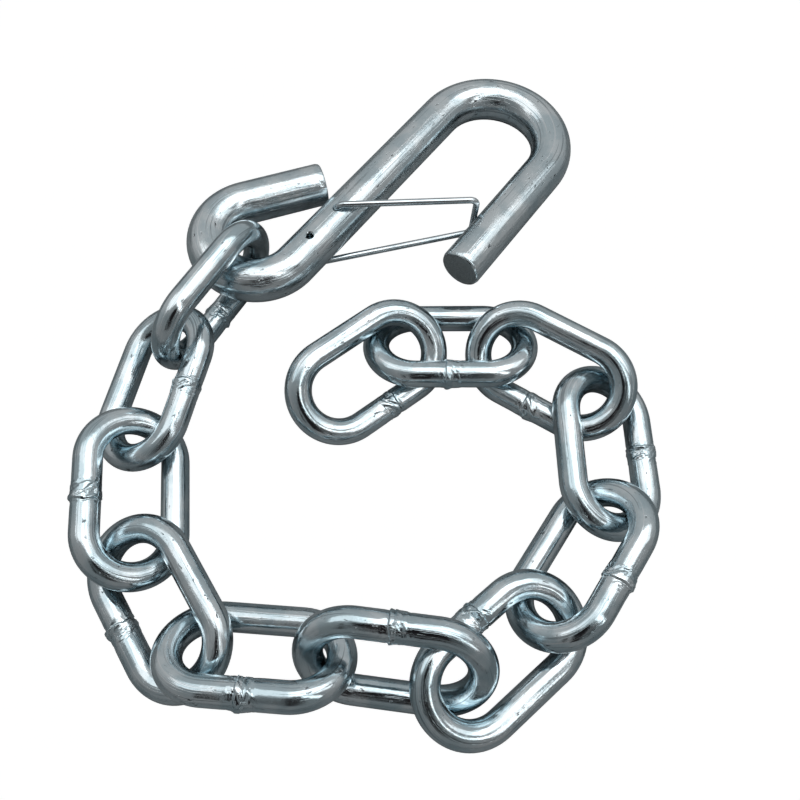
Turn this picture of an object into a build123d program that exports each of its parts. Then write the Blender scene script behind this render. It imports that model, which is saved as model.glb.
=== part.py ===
from build123d import *

import os

# Safety chain with an S-hook, laid down on a flat surface. Millimetres, +Z up.
# The origin is the middle of the footprint, at the height of the surface.

# --- chain link: one round wire bent into an oval and welded shut ---
LINK_WIRE = 7.0
LINK_INSIDE_LENGTH = 32.5
LINK_INSIDE_WIDTH = 14.3
WELD_WIDTH = 2.8
WELD_PROUD = 0.3
WELD_EDGE = 0.3

CROWN_RADIUS = (LINK_INSIDE_WIDTH + LINK_WIRE) / 2  # wire centre, at the round ends
SIDE_LENGTH = LINK_INSIDE_LENGTH + LINK_WIRE - 2 * CROWN_RADIUS

# --- hook: one round bar bent into an S, in its own plane ---
BAR = 11.8
SHANK_LENGTH = 69.2
BOWL_RADIUS = 18.2  # bar centre, in the large open bend
BOWL_TURN = 180
TIP_LENGTH = 43.0
EYE_RADIUS = 13.3  # bar centre, in the small bend that holds the chain
EYE_TURN = 214
EYE_ARM_LENGTH = 23.0
CUT_EDGE = 0.5  # the sawn ends are lightly broken

# --- keeper: one spring wire, bent into a flat U, with its ends turned into the shank ---
KEEPER_WIRE = 1.8
KEEPER_BEND = 2.0
KEEPER_PIN_END = 1.5  # how far each turned end stops from the middle of the shank
HOLE_DIAMETER = KEEPER_WIRE + 0.2
HOLE_EDGE = 0.25
UPPER_HOLE = -16.0  # along the shank, from its middle
LOWER_HOLE = -27.8
BRIDGE_ALONG = 9.2
LEG_HEIGHT = BAR / 2 + KEEPER_WIRE / 2 + 0.3
BRIDGE_SIDE = 2 * BOWL_RADIUS - (BAR + KEEPER_WIRE) / 2 - 0.2  # just clear of the tip

# --- how it lies: x, y, z of the middle, then heading, pitch and roll in degrees ---
# Heading is the way from the hook towards the free end. Roll lifts the left side.
# Each link leans on the one before it, so flat and leaning links alternate.
FOOTPRINT_MIDDLE = (-6.7, 8.0)
HOOK_PLACE = (-8.5, 62.0, 10.0, 54, -4, 0)
LINK_PLACES = [
    (-49.5, 23.2, 14.8, -120, 3, -91),
    (-63.6, -0.4, 8.7, -104, -4, 24),
    (-65.6, -30.0, 9.2, -84, 0, -31),
    (-56.4, -56.2, 7.6, -57, -1, 20),
    (-32.6, -67.0, 10.2, -4, 1, -37),
    (-1.0, -68.6, 12.4, -7, 2, 52),
    (23.0, -67.4, 9.5, 40, -3, 17),
    (42.8, -45.6, 10.0, 56, 0, -37),
    (52.0, -17.2, 7.7, 91, -1, 21),
    (38.8, 4.2, 9.3, 149, -1, -30),
    (13.2, 12.2, 7.6, 180, -1, 20),
    (-8.6, 4.0, 8.6, -143, 0, -26),
]
# The weld is at the middle of one long side: 1 is the left side, -1 the right.
WELD_SIDES = [1, 1, -1, -1, -1, 1, 1, -1, -1, 1, 1, 1]


def place(x, y, z, heading, pitch, roll):
    """The location of a piece whose own frame is +X ahead, +Y to the left."""
    x -= FOOTPRINT_MIDDLE[0]
    y -= FOOTPRINT_MIDDLE[1]
    return Pos(x, y, z) * Rot(0, 0, heading) * Rot(0, -pitch, 0) * Rot(roll, 0, 0)


def round_bar(path, diameter):
    """A round section swept along a path."""
    section = Plane(origin=path @ 0, z_dir=path % 0) * Circle(diameter / 2)
    return sweep(section, path=path)


def chain_link(weld_side):
    """An oval link in its own XY plane, with the weld's low ring on one side."""
    oval = SlotCenterToCenter(SIDE_LENGTH, 2 * CROWN_RADIUS).wire()
    ring = round_bar(oval, LINK_WIRE)
    weld = Cylinder(LINK_WIRE / 2 + WELD_PROUD, WELD_WIDTH)
    weld = chamfer(weld.edges().filter_by(GeomType.CIRCLE), WELD_EDGE)
    return ring + Pos(0, weld_side * CROWN_RADIUS, 0) * Rot(0, 90, 0) * weld


def hook_path():
    """The bar's centre line, from the eye's short arm to the tip, shank along +X."""
    half = SHANK_LENGTH / 2
    shank = Line((half, 0), (-half, 0))
    eye = JernArc((-half, 0), (-1, 0), EYE_RADIUS, -EYE_TURN)
    arm = Line(eye @ 1, eye @ 1 + EYE_ARM_LENGTH * (eye % 1))
    bowl = JernArc((half, 0), (1, 0), BOWL_RADIUS, -BOWL_TURN)
    tip = Line(bowl @ 1, bowl @ 1 + TIP_LENGTH * (bowl % 1))
    return Wire([arm, eye, shank, bowl, tip])


def s_hook():
    """The bent bar, with its two cross-drilled holes for the keeper."""
    hook = round_bar(hook_path(), BAR)
    sawn = hook.faces().filter_by(GeomType.PLANE).edges()
    hook = chamfer(sawn, CUT_EDGE)
    for along in (UPPER_HOLE, LOWER_HOLE):
        hook -= Pos(along, 0, 0) * Cylinder(HOLE_DIAMETER / 2, 2 * BAR)
        for side in (1, -1):
            # the drill's burr is taken off with a shallow cone
            cone = Cone(HOLE_DIAMETER / 2, HOLE_DIAMETER / 2 + 2 * HOLE_EDGE, 2 * HOLE_EDGE)
            turn = Rot(0, 0, 0) if side == 1 else Rot(180, 0, 0)
            hook -= turn * Pos(along, 0, BAR / 2 - HOLE_EDGE / 2) * cone
    return hook


def keeper_wire():
    """The U of spring wire: down into one hole, out round the tip, up into the other."""
    corner = (BRIDGE_ALONG, -BRIDGE_SIDE)
    path = FilletPolyline(
        (UPPER_HOLE, 0, KEEPER_PIN_END),
        (UPPER_HOLE, 0, LEG_HEIGHT),
        (*corner, LEG_HEIGHT),
        (*corner, -LEG_HEIGHT),
        (LOWER_HOLE, 0, -LEG_HEIGHT),
        (LOWER_HOLE, 0, -KEEPER_PIN_END),
        radius=KEEPER_BEND,
    )
    return round_bar(path, KEEPER_WIRE)


def main():
    """Writes one STEP file for each separate piece."""
    pieces = {
        "s_hook": place(*HOOK_PLACE) * s_hook(),
        "keeper_wire": place(*HOOK_PLACE) * keeper_wire(),
    }
    for number, (lie, side) in enumerate(zip(LINK_PLACES, WELD_SIDES), start=1):
        pieces[f"chain_link_{number:02d}"] = place(*lie) * chain_link(side)

    os.makedirs("parts", exist_ok=True)
    for name, piece in pieces.items():
        export_step(piece, f"parts/{name}.step")
    box = Compound(children=list(pieces.values())).bounding_box()
    print("box", box.min, box.max)


main()
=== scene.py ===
import math

import bpy
from mathutils import Matrix, Vector, noise


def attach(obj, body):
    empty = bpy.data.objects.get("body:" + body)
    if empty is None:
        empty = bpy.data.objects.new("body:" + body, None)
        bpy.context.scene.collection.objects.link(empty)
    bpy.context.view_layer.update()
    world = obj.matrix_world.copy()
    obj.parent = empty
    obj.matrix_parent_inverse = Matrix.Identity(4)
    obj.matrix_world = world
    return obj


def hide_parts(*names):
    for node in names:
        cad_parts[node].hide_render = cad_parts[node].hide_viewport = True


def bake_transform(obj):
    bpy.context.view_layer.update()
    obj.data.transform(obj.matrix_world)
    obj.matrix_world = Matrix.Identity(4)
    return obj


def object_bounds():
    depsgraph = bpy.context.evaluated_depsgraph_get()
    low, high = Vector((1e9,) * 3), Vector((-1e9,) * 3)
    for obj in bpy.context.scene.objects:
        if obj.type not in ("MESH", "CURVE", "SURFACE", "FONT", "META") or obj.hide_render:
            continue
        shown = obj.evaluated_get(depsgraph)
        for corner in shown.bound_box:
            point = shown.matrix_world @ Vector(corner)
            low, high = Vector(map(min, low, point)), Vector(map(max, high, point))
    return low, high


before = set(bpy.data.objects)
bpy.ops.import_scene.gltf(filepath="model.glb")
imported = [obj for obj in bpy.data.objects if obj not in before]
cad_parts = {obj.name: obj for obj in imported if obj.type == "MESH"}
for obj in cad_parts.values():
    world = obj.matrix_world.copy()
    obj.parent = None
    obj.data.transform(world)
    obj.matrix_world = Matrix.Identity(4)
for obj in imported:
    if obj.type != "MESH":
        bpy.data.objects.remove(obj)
cad_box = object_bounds()

# The sizes below are those of the CAD part, in millimetres. Everything is built in
# millimetres in its own plane, and place() puts it in the row frame, in metres.
MM = 0.001
UP = Vector((0, 0, 1))

LINK_WIRE = 7.0
LINK_INSIDE_LENGTH = 32.5
LINK_INSIDE_WIDTH = 14.3
CROWN_RADIUS = (LINK_INSIDE_WIDTH + LINK_WIRE) / 2  # wire centre, at the round ends
SIDE_LENGTH = LINK_INSIDE_LENGTH + LINK_WIRE - 2 * CROWN_RADIUS

BAR = 11.8
SHANK_LENGTH = 69.2
BOWL_RADIUS = 18.2  # bar centre, in the large open bend
TIP_LENGTH = 43.0
EYE_RADIUS = 13.3  # bar centre, in the small bend that holds the chain
EYE_TURN = 214
EYE_ARM_LENGTH = 23.0
CUT_EDGE = 0.5

KEEPER_WIRE = 1.8
KEEPER_BEND = 2.0
KEEPER_PIN_END = 1.5  # how far each turned end stops from the middle of the shank
HOLE_RADIUS = 1.0
HOLE_EDGE = 0.25
UPPER_HOLE = -16.0  # along the shank, from its middle
LOWER_HOLE = -27.8
BRIDGE_ALONG = 9.2
LEG_CLEARANCE = 0.3
TIP_CLEARANCE = 0.2
LEG_HEIGHT = (BAR + KEEPER_WIRE) / 2 + LEG_CLEARANCE
BRIDGE_SIDE = 2 * BOWL_RADIUS - (BAR + KEEPER_WIRE) / 2 - TIP_CLEARANCE

# How each piece lies: x, y, z of its middle, then heading, pitch and roll in degrees.
FOOTPRINT_MIDDLE = (-6.7, 8.0)
HOOK_PLACE = (-8.5, 62.0, 10.0, 54, -4, 0)
LINK_PLACES = [
    (-49.5, 23.2, 14.8, -120, 3, -91),
    (-63.6, -0.4, 8.7, -104, -4, 24),
    (-65.6, -30.0, 9.2, -84, 0, -31),
    (-56.4, -56.2, 7.6, -57, -1, 20),
    (-32.6, -67.0, 10.2, -4, 1, -37),
    (-1.0, -68.6, 12.4, -7, 2, 52),
    (23.0, -67.4, 9.5, 40, -3, 17),
    (42.8, -45.6, 10.0, 56, 0, -37),
    (52.0, -17.2, 7.7, 91, -1, 21),
    (38.8, 4.2, 9.3, 149, -1, -30),
    (13.2, 12.2, 7.6, 180, -1, 20),
    (-8.6, 4.0, 8.6, -143, 0, -26),
]
# The weld is at the middle of one long side: 1 is the left side, -1 the right.
WELD_SIDES = [1, 1, -1, -1, -1, 1, 1, -1, -1, 1, 1, 1]


def place(x, y, z, heading, pitch, roll):
    """The matrix from a piece's own frame, in millimetres, to the row frame, in metres."""
    x -= FOOTPRINT_MIDDLE[0]
    y -= FOOTPRINT_MIDDLE[1]
    turn = (
        Matrix.Rotation(math.radians(heading), 4, "Z")
        @ Matrix.Rotation(math.radians(-pitch), 4, "Y")
        @ Matrix.Rotation(math.radians(roll), 4, "X")
    )
    return Matrix.Scale(MM, 4) @ Matrix.Translation((x, y, z)) @ turn


class Path:
    """A line in a plane, made of straight runs and arcs that follow on from each other."""

    def __init__(self, x, y, heading):
        self.end = (x, y, math.radians(heading))
        self.runs = []
        self.length = 0.0

    def step(self, run, s):
        """The point and heading at s along one run."""
        x, y, heading, curve = run
        if not curve:
            return x + s * math.cos(heading), y + s * math.sin(heading), heading
        new = heading + s * curve
        x += (math.sin(new) - math.sin(heading)) / curve
        y -= (math.cos(new) - math.cos(heading)) / curve
        return x, y, new

    def add(self, length, curve=0.0):
        """Adds a run of this length. A curve above 0 turns left, with radius 1 / curve."""
        run = (*self.end, curve)
        self.runs.append((self.length, run))
        self.end = self.step(run, length)
        self.length += length
        return self

    def arc(self, radius, turn):
        """Adds an arc that turns by so many degrees, left if above 0."""
        turn = math.radians(turn)
        return self.add(radius * abs(turn), math.copysign(1 / radius, turn))

    def at(self, s):
        """The point at s along the line, and the unit vectors ahead and to the left."""
        start, run = [r for r in self.runs if r[0] <= s or r[0] == 0][-1]
        x, y, heading = self.step(run, s - start)
        ahead = Vector((math.cos(heading), math.sin(heading), 0))
        return Vector((x, y, 0)), ahead, Vector((-ahead.y, ahead.x, 0))

    def unbend(self, point):
        """Where a point would be with the line laid straight: along, left and up."""
        best = None
        for (start, run), (stop, _) in zip(self.runs, self.runs[1:] + [(self.length, 0)]):
            x, y, heading, curve = run
            dx, dy = point[0] - x, point[1] - y
            along = dx * math.cos(heading) + dy * math.sin(heading)
            left = dy * math.cos(heading) - dx * math.sin(heading)
            if curve:
                turn = math.copysign(1, curve)
                along, left = (
                    math.atan2(along, (1 / curve - left) * turn) % (2 * math.pi) / abs(curve),
                    1 / curve - turn * math.hypot(along, 1 / curve - left),
                )
            over = max(0, -along, along - (stop - start))
            if best is None or over + abs(left) < best[0]:
                best = (over + abs(left), start + along, left)
        return best[1], best[2], point[2]


def stations(length, spacing, fine=(), reach=0.0, fine_spacing=0.0):
    """Places along a line, close together within reach of the places in fine."""
    found, s = [], 0.0
    while s < length - spacing / 4:
        found.append(s)
        near = any(abs(s - f) < reach for f in fine)
        gap = min([abs(s - f) - reach for f in fine if f > s], default=spacing)
        s += fine_spacing if near else max(min(spacing, gap), fine_spacing)
    return found


def turns(count):
    """So many angles, evenly round a circle."""
    return [2 * math.pi * k / count for k in range(count)]


def between(a, b, count):
    """The faces between two rings of points, that start at a and at b."""
    return [(a + j, a + (j + 1) % count, b + (j + 1) % count, b + j) for j in range(count)]


def tube(name, rings, marks, closed=False, caps=()):
    """A mesh through rings of points. marks gives each ring's points their place on the
    straight bar, which the materials read. caps is rings for each end, the last a point."""
    verts, bar, faces = [], [], []
    count = len(rings[0])
    for ring, mark in zip(rings, marks):
        verts += ring
        bar += mark
    last = len(rings) if closed else len(rings) - 1
    for i in range(last):
        faces += between(i * count, (i + 1) % len(rings) * count, count)
    cap_from = len(faces)
    for edge, cap_rings, flip in caps:
        previous = edge * count
        for ring, mark in cap_rings:
            here = len(verts)
            verts += ring
            bar += mark
            for j in range(count):
                k = (j + 1) % count
                if len(ring) == 1:
                    face = (previous + k, previous + j, here)
                else:
                    face = (previous + k, previous + j, here + j, here + k)
                faces.append(face[::-1] if flip else face)
            previous = here
    mesh = bpy.data.meshes.new(name)
    mesh.from_pydata(verts, [], faces)
    attribute = mesh.attributes.new("bar", "FLOAT_VECTOR", "POINT")
    attribute.data.foreach_set("vector", [c for v in bar for c in v])
    for polygon in mesh.polygons:
        polygon.use_smooth = True
        polygon.material_index = int(polygon.index >= cap_from)
    return mesh


def show(name, mesh, matrix, body, node, materials):
    """A finished piece: its mesh goes to the row frame and stands for one CAD node.
    A weld that would reach past the CAD's box is pressed flat there."""
    mesh.transform(matrix)
    for vertex in mesh.vertices:
        vertex.co = [max(low, min(high, c)) for low, high, c in zip(*cad_box, vertex.co)]
    for material in materials:
        mesh.materials.append(material)
    piece = bpy.data.objects.new(name, mesh)
    bpy.context.scene.collection.objects.link(piece)
    if body:
        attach(piece, body)
    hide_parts(node)
    return piece


# --- materials ---

# Places of a colour mix node's inputs and output.
MIX_SHARE, MIX_FIRST, MIX_SECOND, MIX_RESULT = 0, 6, 7, 2


class Nodes:
    """Short ways to write a material's node tree."""

    def __init__(self, name):
        self.material = bpy.data.materials.new(name)
        self.material.use_nodes = True
        self.tree = self.material.node_tree
        self.shader = self.tree.nodes["Principled BSDF"]

    def set(self, name, value):
        """Sets a shader input to a number or colour, or links it to a node's output."""
        if isinstance(value, bpy.types.NodeSocket):
            self.tree.links.new(value, self.shader.inputs[name])
        else:
            self.shader.inputs[name].default_value = value

    def bar(self):
        """A point's place on the straight bar, in millimetres: along, left and up."""
        node = self.tree.nodes.new("ShaderNodeAttribute")
        node.attribute_name = "bar"
        return node.outputs["Vector"]

    def stretched(self, vector, along, shift=0.0):
        """Places for a pattern that is long along the bar when along is below 1."""
        node = self.tree.nodes.new("ShaderNodeMapping")
        node.inputs["Scale"].default_value = (along, 1, 1)
        node.inputs["Location"].default_value = (shift, shift, shift)
        self.tree.links.new(vector, node.inputs["Vector"])
        return node.outputs["Vector"]

    def noise(self, vector, scale, detail=2.0, rough=0.5):
        node = self.tree.nodes.new("ShaderNodeTexNoise")
        node.inputs["Scale"].default_value = scale
        node.inputs["Detail"].default_value = detail
        node.inputs["Roughness"].default_value = rough
        self.tree.links.new(vector, node.inputs["Vector"])
        return node.outputs["Fac"]

    def band(self, value, low, high, start=0.0, end=1.0):
        """value from low to high becomes start to end, with a smooth change."""
        node = self.tree.nodes.new("ShaderNodeMapRange")
        node.interpolation_type = "SMOOTHSTEP"
        for i, number in enumerate((low, high, start, end), start=1):
            node.inputs[i].default_value = number
        self.tree.links.new(value, node.inputs[0])
        return node.outputs[0]

    def math(self, kind, a, b):
        """One step of arithmetic on two numbers or outputs."""
        node = self.tree.nodes.new("ShaderNodeMath")
        node.operation = kind
        for i, value in enumerate((a, b)):
            if isinstance(value, bpy.types.NodeSocket):
                self.tree.links.new(value, node.inputs[i])
            else:
                node.inputs[i].default_value = value
        return node.outputs[0]

    def mix(self, share, a, b):
        """Colour a where share is 0, and b where it is 1."""
        node = self.tree.nodes.new("ShaderNodeMix")
        node.data_type = "RGBA"
        for i, value in ((MIX_SHARE, share), (MIX_FIRST, a), (MIX_SECOND, b)):
            if isinstance(value, bpy.types.NodeSocket):
                self.tree.links.new(value, node.inputs[i])
            else:
                node.inputs[i].default_value = value if i == MIX_SHARE else (*value, 1)
        return node.outputs[MIX_RESULT]

    def bump(self, height, millimetres, normal=None):
        """A relief where height 0 to 1 rises so many millimetres, over an earlier normal."""
        node = self.tree.nodes.new("ShaderNodeBump")
        node.inputs["Distance"].default_value = millimetres * MM
        self.tree.links.new(height, node.inputs["Height"])
        if normal is not None:
            self.tree.links.new(normal, node.inputs["Normal"])
        return node.outputs["Normal"]


GRAIN_TINT = (0.3, 0.36, 0.39)
BRIGHT_LINE_TINT = (0.9, 0.93, 0.95)
LINE_TINT = (0.16, 0.2, 0.22)
PIT_TINT = (0.035, 0.04, 0.045)
PIT_EDGE = 0.05
FROST_ROUGHNESS = 0.13  # how much rougher the frosted patches are
GRAIN_ROUGHNESS = 0.06
PIT_ROUGHNESS = 0.35


def zinc(name, light, dark, rough, depth, pits):
    """Bright zinc plate over drawn steel: lines along the bar, pits, and cloudy tint.
    light and dark are the tints, depth is the relief in millimetres, and pits is the
    noise above which there is a pit, so a higher number leaves fewer."""
    n = Nodes(name)
    bar = n.bar()
    cloud = n.band(n.noise(bar, 0.13, 3), 0.38, 0.62)
    ripple = n.noise(n.stretched(bar, 0.12), 0.42, 3, 0.55)
    grain = n.noise(n.stretched(bar, 0.6, 20), 1.7, 5, 0.68)
    drawn = n.noise(n.stretched(bar, 0.018, 40), 1.5, 4, 0.6)
    line = n.band(drawn, 0.585, 0.65)
    bright_line = n.band(drawn, 0.42, 0.35)
    spots = n.noise(n.stretched(bar, 0.4, 90), 1.15, 4, 0.6)
    where = n.band(n.noise(bar, 0.2, 2), 0.42, 0.62)
    pit = n.math("MULTIPLY", n.band(spots, pits, pits + PIT_EDGE), where)
    frost = n.band(n.noise(n.stretched(bar, 0.3, 60), 0.3, 3), 0.5, 0.68)
    colour = n.mix(cloud, dark, light)
    colour = n.mix(n.band(grain, 0.55, 0.8, 0, 0.45), colour, GRAIN_TINT)
    colour = n.mix(n.math("MULTIPLY", bright_line, 0.4), colour, BRIGHT_LINE_TINT)
    colour = n.mix(n.math("MULTIPLY", line, 0.55), colour, LINE_TINT)
    colour = n.mix(n.math("MULTIPLY", pit, 0.9), colour, PIT_TINT)
    n.set("Base Color", colour)
    n.set("Metallic", 1.0)
    frosted = n.band(frost, 0, 1, rough, rough + FROST_ROUGHNESS)
    shine = n.math("ADD", frosted, n.band(grain, 0.4, 0.7, 0, GRAIN_ROUGHNESS))
    n.set("Roughness", n.math("ADD", shine, n.math("MULTIPLY", pit, PIT_ROUGHNESS)))
    relief = n.bump(ripple, depth)
    relief = n.bump(grain, depth * 0.28, relief)
    relief = n.bump(n.math("SUBTRACT", bright_line, line), depth * 0.14, relief)
    relief = n.bump(pit, -depth * 0.6, relief)
    n.set("Normal", relief)
    return n.material


SAWN_DARK = (0.2, 0.225, 0.235)
SAWN_LIGHT = (0.42, 0.45, 0.46)
SAWN_RELIEF = 0.05


def sawn():
    """The dull grey sawn end of the bar."""
    n = Nodes("sawn_end")
    bar = n.bar()
    grain = n.noise(bar, 2.6, 5, 0.7)
    marks = n.noise(n.stretched(bar, 1.0, 7), 0.8, 4)
    colour = n.mix(n.band(grain, 0.35, 0.65), SAWN_DARK, SAWN_LIGHT)
    n.set("Base Color", colour)
    n.set("Metallic", 0.75)
    n.set("Roughness", n.band(marks, 0.3, 0.7, 0.42, 0.62))
    n.set("Normal", n.bump(grain, SAWN_RELIEF))
    return n.material


bar_zinc = zinc("zinc_bar", (0.74, 0.81, 0.84), (0.56, 0.665, 0.71), 0.08, 0.11, 0.62)
link_zinc = zinc("zinc_link", (0.72, 0.8, 0.835), (0.52, 0.64, 0.69), 0.06, 0.08, 0.635)
wire_zinc = zinc("spring_wire", (0.7, 0.76, 0.79), (0.55, 0.63, 0.67), 0.1, 0.02, 0.7)
sawn_steel = sawn()


# --- chain links ---

RING_POINTS = 64
LINK_SPACING = 0.8  # between rings
WELD_SPACING = 0.17
LINK_SHIFT = 150  # along the bar from one link's pattern to the next, so that all differ
LINK_RISE = 40
WELD_REACH = 4.4  # from the weld's middle, along the wire
WELD_HALF = 1.5
LIP_RUN = 1.2  # the rise to the lip starts this far on the other side of the middle
LIP_DROP = 0.3
BEAD = 0.09  # how far the whole weld stands out
CRACK = 0.22
CRACK_WIDTH = 0.13
WELD_FREEDOM = 0.55  # the most that a weld stands out from the wire
# For each weld: how high its lip and its facets are, how far round the wire its flash
# sits in degrees from the outer side, how high that is, and on which side of the middle.
WELDS = [
    (0.22, 0.20, 60, 0.25, 1),
    (0.25, 0.22, 120, 0.30, -1),
    (0.30, 0.30, 10, 0.40, -1),
    (0.42, 0.34, 60, 0.30, 1),
    (0.36, 0.36, -35, 0.50, 1),
    (0.45, 0.22, 20, 0.35, -1),
    (0.20, 0.34, 70, 0.20, 1),
    (0.30, 0.30, -20, 0.60, 1),
    (0.28, 0.30, 150, 0.25, -1),
    (0.16, 0.36, 60, 0.25, 1),
    (0.28, 0.18, -60, 0.30, 1),
    (0.14, 0.30, 90, 0.15, -1),
]


def bell(x, width):
    """1 at x = 0, falling to nothing over a few widths."""
    return math.exp(-((x / width) ** 2))


def weld_relief(s, angle, number):
    """How far the weld stands out from the wire, s along from its middle. Angle 0 is the
    outer side of the link. Each weld differs, as they are pressed together while hot."""
    if abs(s) >= WELD_REACH:
        return 0.0
    lip, facets, flash_at, flash, way = WELDS[number - 1]
    seed = Vector((3.1 * number, 1.7 * number, 0.9))
    around = Vector((math.cos(angle), math.sin(angle), 0.0))
    half = WELD_HALF + 0.4 * noise.noise(seed * 2)
    edge = half + 0.9 * noise.noise(around * 0.9 + seed) + 0.25 * noise.noise(around * 4 + seed)
    t = way * s
    # metal rises towards the lip and drops off sharply behind it
    rise = max(0.0, min(1.0, (t + LIP_RUN) / (edge + LIP_RUN)))
    drop = max(0.0, min(1.0, 1 - (t - edge) / LIP_DROP))
    height = lip * rise**1.6 * (drop if t > edge else 1.0)
    back_edge = -half - 0.6 + 0.8 * noise.noise(around * 1.1 - seed)
    height += BEAD if back_edge < t < edge else 0.0
    at = Vector((s, 0, 0)) * 0.62 + around * 1.9 + seed
    # noise_vector starts from an unseeded draw, so this differs from run to run
    at += 0.5 * noise.noise_vector(at * 1.3)
    height += facets * (noise.cell(at) - 0.3) * bell(s - 0.2 * way, 2.3)
    bump_turn = math.radians(flash_at) - angle
    bump_turn = math.atan2(math.sin(bump_turn), math.cos(bump_turn))
    height += flash * bell(t - 0.8 * half, 0.75) * bell(bump_turn, 0.5)
    crack = CRACK * bell(t - edge - 0.35, CRACK_WIDTH)
    crack *= 0.5 + noise.noise(around * 2.3 + seed)
    inner = 0.55 + 0.45 * math.cos(angle)
    height *= 0.35 + 0.65 * max(inner, abs(math.sin(angle)))
    fade = 1 - min(1, abs(s) / WELD_REACH) ** 6
    return fade * min(WELD_FREEDOM, height - max(0.0, crack))


def chain_link(number, side):
    """One link. Its path starts at the weld and runs clockwise, so left is outwards."""
    path = Path(0, side * CROWN_RADIUS, 0 if side == 1 else 180)
    path.add(SIDE_LENGTH / 2).arc(CROWN_RADIUS, -180).add(SIDE_LENGTH)
    path.arc(CROWN_RADIUS, -180).add(SIDE_LENGTH / 2)
    rings, marks = [], []
    for s in stations(path.length, LINK_SPACING, (0, path.length), WELD_REACH, WELD_SPACING):
        middle, _, left = path.at(s)
        from_weld = s if s < path.length / 2 else s - path.length
        ring, mark = [], []
        for angle in turns(RING_POINTS):
            radius = LINK_WIRE / 2 + weld_relief(from_weld, angle, number)
            across, up = math.cos(angle), math.sin(angle)
            ring.append(middle + radius * (across * left + up * UP))
            shifted = s + LINK_SHIFT * number
            mark.append((shifted, radius * across, radius * up + LINK_RISE * number))
        rings.append(ring)
        marks.append(mark)
    return tube(f"link_{number:02d}", rings, marks, closed=True)


for number, (lie, side) in enumerate(zip(LINK_PLACES, WELD_SIDES), start=1):
    show(
        f"welded_link_{number:02d}",
        chain_link(number, side),
        place(*lie),
        f"link_{number:02d}_body",
        f"chain_link_{number:02d}",
        [link_zinc],
    )


# --- hook ---

HOOK_POINTS = 72
HOOK_SPACING = 1.0  # between rings
HOLE_SPACING = 0.3
HOLE_REACH = 2.4  # from a hole's middle, along the bar
CAP_SHARES = (0.985, 0.66, 0.33, 0.0)  # of the end's radius, the last one its middle
DRILL_POINTS = 40
HOOK_CRISP = math.radians(28)  # an edge that turns more than this stays crisp


def end_cap(point, left, radius, s):
    """Rings of points that close a bar's end with its sawn face, at s along the bar."""
    rings = []
    for share in CAP_SHARES:
        ring, mark = [], []
        for angle in turns(HOOK_POINTS if share else 1):
            y, z = (radius * share * f(angle) for f in (math.cos, math.sin))
            ring.append(point + y * left + z * UP)
            mark.append((s, y, z))
        rings.append((ring, mark))
    return rings


def hook_mesh():
    """The bent bar, from the tip's end to the end of the eye's arm, and its path."""
    half = SHANK_LENGTH / 2
    path = Path(half - TIP_LENGTH, -2 * BOWL_RADIUS, 0)
    path.add(TIP_LENGTH).arc(BOWL_RADIUS, 180)
    shank_from = path.length
    path.add(SHANK_LENGTH).arc(EYE_RADIUS, -EYE_TURN).add(EYE_ARM_LENGTH)
    holes = [shank_from + half - along for along in (UPPER_HOLE, LOWER_HOLE)]
    places = [0.0, CUT_EDGE / 2]
    for s in stations(path.length, HOOK_SPACING, holes, HOLE_REACH, HOLE_SPACING):
        if CUT_EDGE <= s <= path.length - CUT_EDGE:
            places.append(s)
    places += [path.length - CUT_EDGE / 2, path.length]
    rings, marks = [], []
    for s in places:
        middle, _, left = path.at(s)
        from_end = min(s, path.length - s)
        radius = BAR / 2 - max(0.0, CUT_EDGE - from_end)
        ring, mark = [], []
        for angle in turns(HOOK_POINTS):
            across, up = math.cos(angle), math.sin(angle)
            ring.append(middle + radius * (across * left + up * UP))
            mark.append((s, radius * across, radius * up))
        rings.append(ring)
        marks.append(mark)
    caps = []
    for edge, s, flip in ((0, 0.0, False), (len(rings) - 1, path.length, True)):
        point, _, left = path.at(s)
        caps.append((edge, end_cap(point, left, BAR / 2 - CUT_EDGE, s), flip))
    return tube("hook", rings, marks, caps=caps), path


def hole_cutter():
    """Two drills through the shank, each with a cone at both sides for the burr."""
    rim = BAR / 2 + HOLE_EDGE / 2
    wide = HOLE_RADIUS + 2 * HOLE_EDGE
    depth = rim - 2 * HOLE_EDGE
    profile = [(wide, -BAR), (wide, -rim), (HOLE_RADIUS, -depth)]
    profile += [(HOLE_RADIUS, depth), (wide, rim), (wide, BAR)]
    count = DRILL_POINTS
    verts, faces = [], []
    for along in (UPPER_HOLE, LOWER_HOLE):
        start = len(verts)
        for radius, z in profile:
            for angle in turns(count):
                x = along + radius * math.cos(angle)
                verts.append((x, radius * math.sin(angle), z))
        for i in range(len(profile) - 1):
            faces += between(start + i * count, start + (i + 1) * count, count)
        faces.append([start + k for k in reversed(range(count))])
        faces.append([start + (len(profile) - 1) * count + k for k in range(count)])
    mesh = bpy.data.meshes.new("drill")
    mesh.from_pydata(verts, [], faces)
    return mesh


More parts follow.
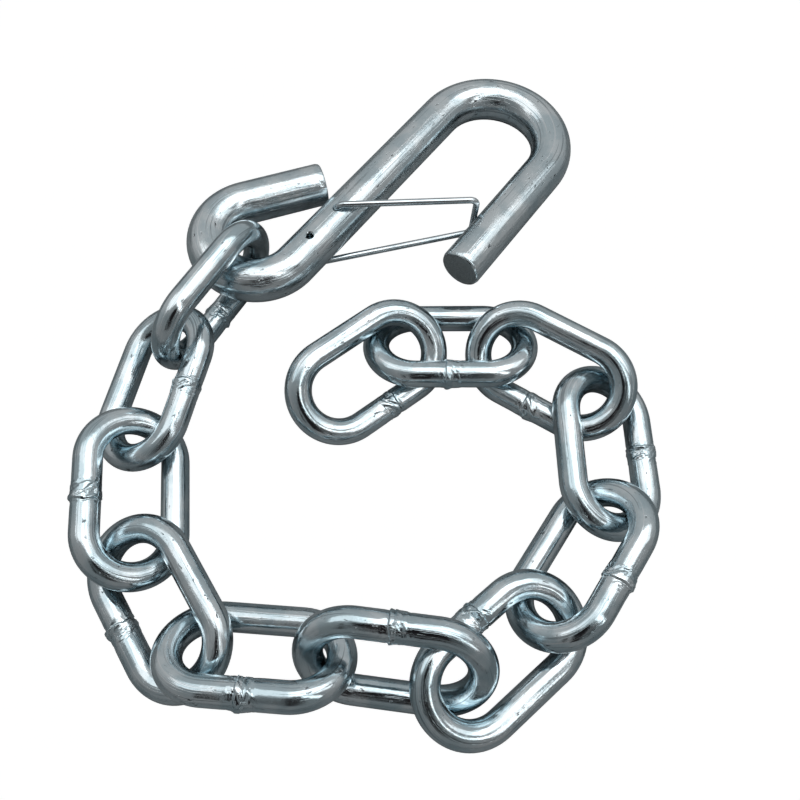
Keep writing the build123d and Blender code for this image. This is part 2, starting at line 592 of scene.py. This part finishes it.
def drilled(mesh, path):
    """The hook's mesh with its holes cut out, and its place on the bar worked out again."""
    blank = bpy.data.objects.new("blank", mesh)
    drill = bpy.data.objects.new("drill", hole_cutter())
    for each in (blank, drill):
        bpy.context.scene.collection.objects.link(each)
    cut = blank.modifiers.new("holes", "BOOLEAN")
    cut.object = drill
    cut.operation = "DIFFERENCE"
    cut.solver = "EXACT"
    bpy.context.view_layer.update()
    graph = bpy.context.evaluated_depsgraph_get()
    result = bpy.data.meshes.new_from_object(blank.evaluated_get(graph))
    for each in (blank, drill):
        bpy.data.objects.remove(each)
    result.name = "hook_drilled"
    if "bar" in result.attributes:
        result.attributes.remove(result.attributes["bar"])
    attribute = result.attributes.new("bar", "FLOAT_VECTOR", "POINT")
    bar = [c for v in result.vertices for c in path.unbend(v.co)]
    attribute.data.foreach_set("vector", bar)
    result.set_sharp_from_angle(angle=HOOK_CRISP)
    return result


hook_place = place(*HOOK_PLACE)
show(
    "bent_hook",
    drilled(*hook_mesh()),
    hook_place,
    "hook_body",
    "s_hook",
    [bar_zinc, sawn_steel],
)


# --- keeper ---

KEEPER_POINTS = 24
KEEPER_SPACING = 0.7  # between rings
KEEPER_SHIFT = 900  # across the bar, so that its pattern is not the hook's
KEEPER_CRISP = math.radians(40)
BEND_STEP = 7  # degrees between the points of a rounded corner
BEND_LEAST = 6


def rounded(corners, radius, spacing):
    """Points along a line with rounded corners, with the unit vector ahead at each."""
    found = []
    at = corners[0]
    for previous, corner, following in zip(corners, corners[1:], corners[2:]):
        back = (previous - corner).normalized()
        on = (following - corner).normalized()
        turn = math.pi - back.angle(on)
        trim = radius * math.tan(turn / 2)
        first = corner + back * trim
        count = max(2, round((first - at).length / spacing))
        found += [(at.lerp(first, i / count), -back) for i in range(count)]
        centre = corner + (back + on).normalized() * radius / math.cos(turn / 2)
        arm = first - centre
        axis = (-back).cross(on).normalized()
        steps = max(BEND_LEAST, round(math.degrees(turn) / BEND_STEP))
        for i in range(steps):
            spin = Matrix.Rotation(turn * i / steps, 3, axis)
            found.append((centre + spin @ arm, spin @ -back))
        at = corner + on * trim
    ahead = (corners[-1] - at).normalized()
    count = max(2, round((corners[-1] - at).length / spacing))
    found += [(at.lerp(corners[-1], i / count), ahead) for i in range(count + 1)]
    return found


def keeper_mesh():
    """The U of spring wire: into one hole, out round the tip, and into the other."""
    corners = [
        Vector(c)
        for c in (
            (UPPER_HOLE, 0, KEEPER_PIN_END),
            (UPPER_HOLE, 0, LEG_HEIGHT),
            (BRIDGE_ALONG, -BRIDGE_SIDE, LEG_HEIGHT),
            (BRIDGE_ALONG, -BRIDGE_SIDE, -LEG_HEIGHT),
            (LOWER_HOLE, 0, -LEG_HEIGHT),
            (LOWER_HOLE, 0, -KEEPER_PIN_END),
        )
    ]
    points = rounded(corners, KEEPER_BEND, KEEPER_SPACING)
    rings, marks = [], []
    side = Vector((1, 0, 0))
    s = 0.0
    for i, (point, ahead) in enumerate(points):
        side = (side - side.dot(ahead) * ahead).normalized()
        up = ahead.cross(side)
        if i:
            s += (point - points[i - 1][0]).length
        ring, mark = [], []
        for angle in turns(KEEPER_POINTS):
            y, z = (KEEPER_WIRE / 2 * f(angle) for f in (math.cos, math.sin))
            ring.append(point + y * side + z * up)
            mark.append((s, y + KEEPER_SHIFT, z))
        rings.append(ring)
        marks.append(mark)
    caps = []
    for edge, flip in ((0, False), (len(rings) - 1, True)):
        point = points[edge][0]
        caps.append((edge, [([point], [marks[edge][0]])], flip))
    mesh = tube("keeper", rings, marks, caps=caps)
    mesh.set_sharp_from_angle(angle=KEEPER_CRISP)
    return mesh


keeper = show(
    "keeper_spring",
    keeper_mesh(),
    hook_place,
    None,
    "keeper_wire",
    [wire_zinc, wire_zinc],
)
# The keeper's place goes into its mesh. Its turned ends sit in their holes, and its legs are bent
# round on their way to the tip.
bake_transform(keeper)


# --- floor, light and camera ---

FLOOR_HALF = 3.0
FLOOR_ROUGHNESS = 0.8
FLOOR_SHEEN = 0.1
CAMERA_HEIGHT = 0.206  # of the dark camera and arm, in metres like all of the studio
ROOM_RADIUS = 2.9
ROOM_ROWS = 20
ROOM_COLUMNS = 48
ROOM_NEAR, ROOM_FAR = 0.2, 0.56  # how bright its near and far walls are
ROOM_CHANGE = 2.2  # how quickly one becomes the other
ROOM_LOW = 0.55  # the share of that brightness left at the foot of the walls


def stage_piece(name, verts, faces, strength, colour=(1, 1, 1)):
    """A piece of the studio that the camera doesn't see, glowing by strength.
    Gives the piece and its glow node."""
    mesh = bpy.data.meshes.new(name)
    mesh.from_pydata(verts, [], faces)
    material = bpy.data.materials.new(name)
    material.use_nodes = True
    tree = material.node_tree
    tree.nodes.clear()
    glow = tree.nodes.new("ShaderNodeEmission")
    glow.inputs["Color"].default_value = (*colour, 1)
    glow.inputs["Strength"].default_value = strength
    output = tree.nodes.new("ShaderNodeOutputMaterial")
    tree.links.new(glow.outputs[0], output.inputs["Surface"])
    material.cycles.emission_sampling = "NONE"
    mesh.materials.append(material)
    piece = bpy.data.objects.new(name, mesh)
    piece.visible_camera = False
    piece.visible_shadow = False
    bpy.context.scene.collection.objects.link(piece)
    return piece, glow


def panel(name, corners, height, strength, colour=(1, 1, 1)):
    """A flat level panel over the bench, its corners in metres."""
    verts = [(x, y, height) for x, y in corners]
    return stage_piece(name, verts, [range(len(verts))], strength, colour)[0]


def floor(name, albedo, glow):
    """A flat floor under the pieces, with a white glow or none."""
    mesh = bpy.data.meshes.new(name)
    signs = [(-1, -1), (1, -1), (1, 1), (-1, 1)]
    corners = [(x * FLOOR_HALF, y * FLOOR_HALF, 0) for x, y in signs]
    mesh.from_pydata(corners, [], [(0, 1, 2, 3)])
    n = Nodes(name)
    n.set("Base Color", (*albedo, 1))
    n.set("Roughness", FLOOR_ROUGHNESS)
    n.set("Specular IOR Level", FLOOR_SHEEN)
    n.set("Emission Color", (1, 1, 1, 1))
    n.set("Emission Strength", glow)
    n.material.cycles.emission_sampling = "NONE"
    mesh.materials.append(n.material)
    piece = bpy.data.objects.new(name, mesh)
    piece.location.z = cad_box[0].z
    bpy.context.scene.collection.objects.link(piece)
    return piece


def room():
    """A plain room round the bench: its walls are grey, lighter at the far side."""
    verts, faces, shades = [], [], []
    for i in range(ROOM_ROWS + 1):
        up = math.pi / 2 * i / ROOM_ROWS
        for turn in turns(ROOM_COLUMNS):
            x, y = math.cos(up) * math.cos(turn), math.cos(up) * math.sin(turn)
            z = math.sin(up)
            verts.append((ROOM_RADIUS * x, ROOM_RADIUS * y, ROOM_RADIUS * z))
            far = 0.5 + 0.5 * math.tanh(ROOM_CHANGE * y)
            height = ROOM_LOW + (1 - ROOM_LOW) * z
            shades.append(ROOM_NEAR + (ROOM_FAR - ROOM_NEAR) * far * height)
    for i in range(ROOM_ROWS):
        faces += between(i * ROOM_COLUMNS, (i + 1) * ROOM_COLUMNS, ROOM_COLUMNS)
    piece, glow = stage_piece("room", verts, faces, 1.0)
    piece.visible_shadow = True
    attribute = piece.data.attributes.new("shade", "FLOAT", "POINT")
    attribute.data.foreach_set("value", shades)
    tree = piece.data.materials[0].node_tree
    shade = tree.nodes.new("ShaderNodeAttribute")
    shade.attribute_name = "shade"
    tree.links.new(shade.outputs["Fac"], glow.inputs["Strength"])


# One floor is what the camera sees. The other is a darker copy that only the metal reflects: its dark
# grey-teal colour is painted shade, standing in for the floor in shadow round the pieces.
pale = floor("pale_floor", (0.45, 0.45, 0.45), 0.9)
shaded_floor_copy = floor("shaded_floor_copy", (0.22, 0.235, 0.24), 0.0)
for flag in ("visible_diffuse", "visible_glossy", "visible_transmission", "visible_shadow"):
    setattr(pale, flag, False)
shaded_floor_copy.visible_camera = False

room()
panel("ceiling", [(-0.95, -0.08), (1.25, -0.08), (1.25, 0.6), (-0.95, 0.6)], 0.9, 1.2)
panel("bright_window", [(-0.05, 0.0), (0.62, 0.0), (0.62, 0.5), (-0.05, 0.5)], 0.88, 2.3)
panel("strip_light", [(0.02, -0.1), (0.12, 0.0), (1.3, -0.83), (1.15, -0.98)], 0.89, 2.0)
# What is dark in front of the bench: a coat, the camera and an arm.
camera_corners = [(-0.012, -0.072), (0.02, -0.072), (0.04, -0.12)]
camera_corners += [(0.04, -0.42), (-0.06, -0.42), (-0.05, -0.12)]
dark = [
    panel("coat", [(-0.1, -0.2), (0.2, -0.2), (0.3, -0.9), (-0.2, -0.9)], 0.45, 0.1),
    panel("camera_body", camera_corners, CAMERA_HEIGHT, 0.015, (1, 0.85, 0.9)),
    panel("arm", [(-0.1, -0.13), (-0.09, -0.16), (-0.12, -0.36), (-0.18, -0.36)], CAMERA_HEIGHT, 0.03),
]
for piece in dark:
    piece.visible_diffuse = False

world = bpy.data.worlds.new("studio")
world.use_nodes = True
world.node_tree.nodes["Background"].inputs["Color"].default_value = (1, 1, 1, 1)
world.node_tree.nodes["Background"].inputs["Strength"].default_value = 1.0
bpy.context.scene.world = world
bpy.context.scene.view_settings.view_transform = "Standard"

CAMERA_LENS = 35.4
CAMERA_SENSOR = 36
CAMERA_NEAR = 0.01
CAMERA_ELEVATION = math.radians(67.7)
CAMERA_DISTANCE = 212.2 * MM
CAMERA_ROLL = math.radians(0.27)
LOOK_AT = Vector((6.6, -8.5, 0)) * MM

camera_data = bpy.data.cameras.new("camera")
camera_data.sensor_width = CAMERA_SENSOR
camera_data.lens = CAMERA_LENS
camera_data.clip_start = CAMERA_NEAR
camera = bpy.data.objects.new("camera", camera_data)
back = Vector((0, -math.cos(CAMERA_ELEVATION), math.sin(CAMERA_ELEVATION)))
camera.location = LOOK_AT + back * CAMERA_DISTANCE
camera.rotation_mode = "QUATERNION"
roll = Matrix.Rotation(CAMERA_ROLL, 3, "Z").to_quaternion()
camera.rotation_quaternion = (-back).to_track_quat("-Z", "Y") @ roll
bpy.context.scene.collection.objects.link(camera)
bpy.context.scene.camera = camera
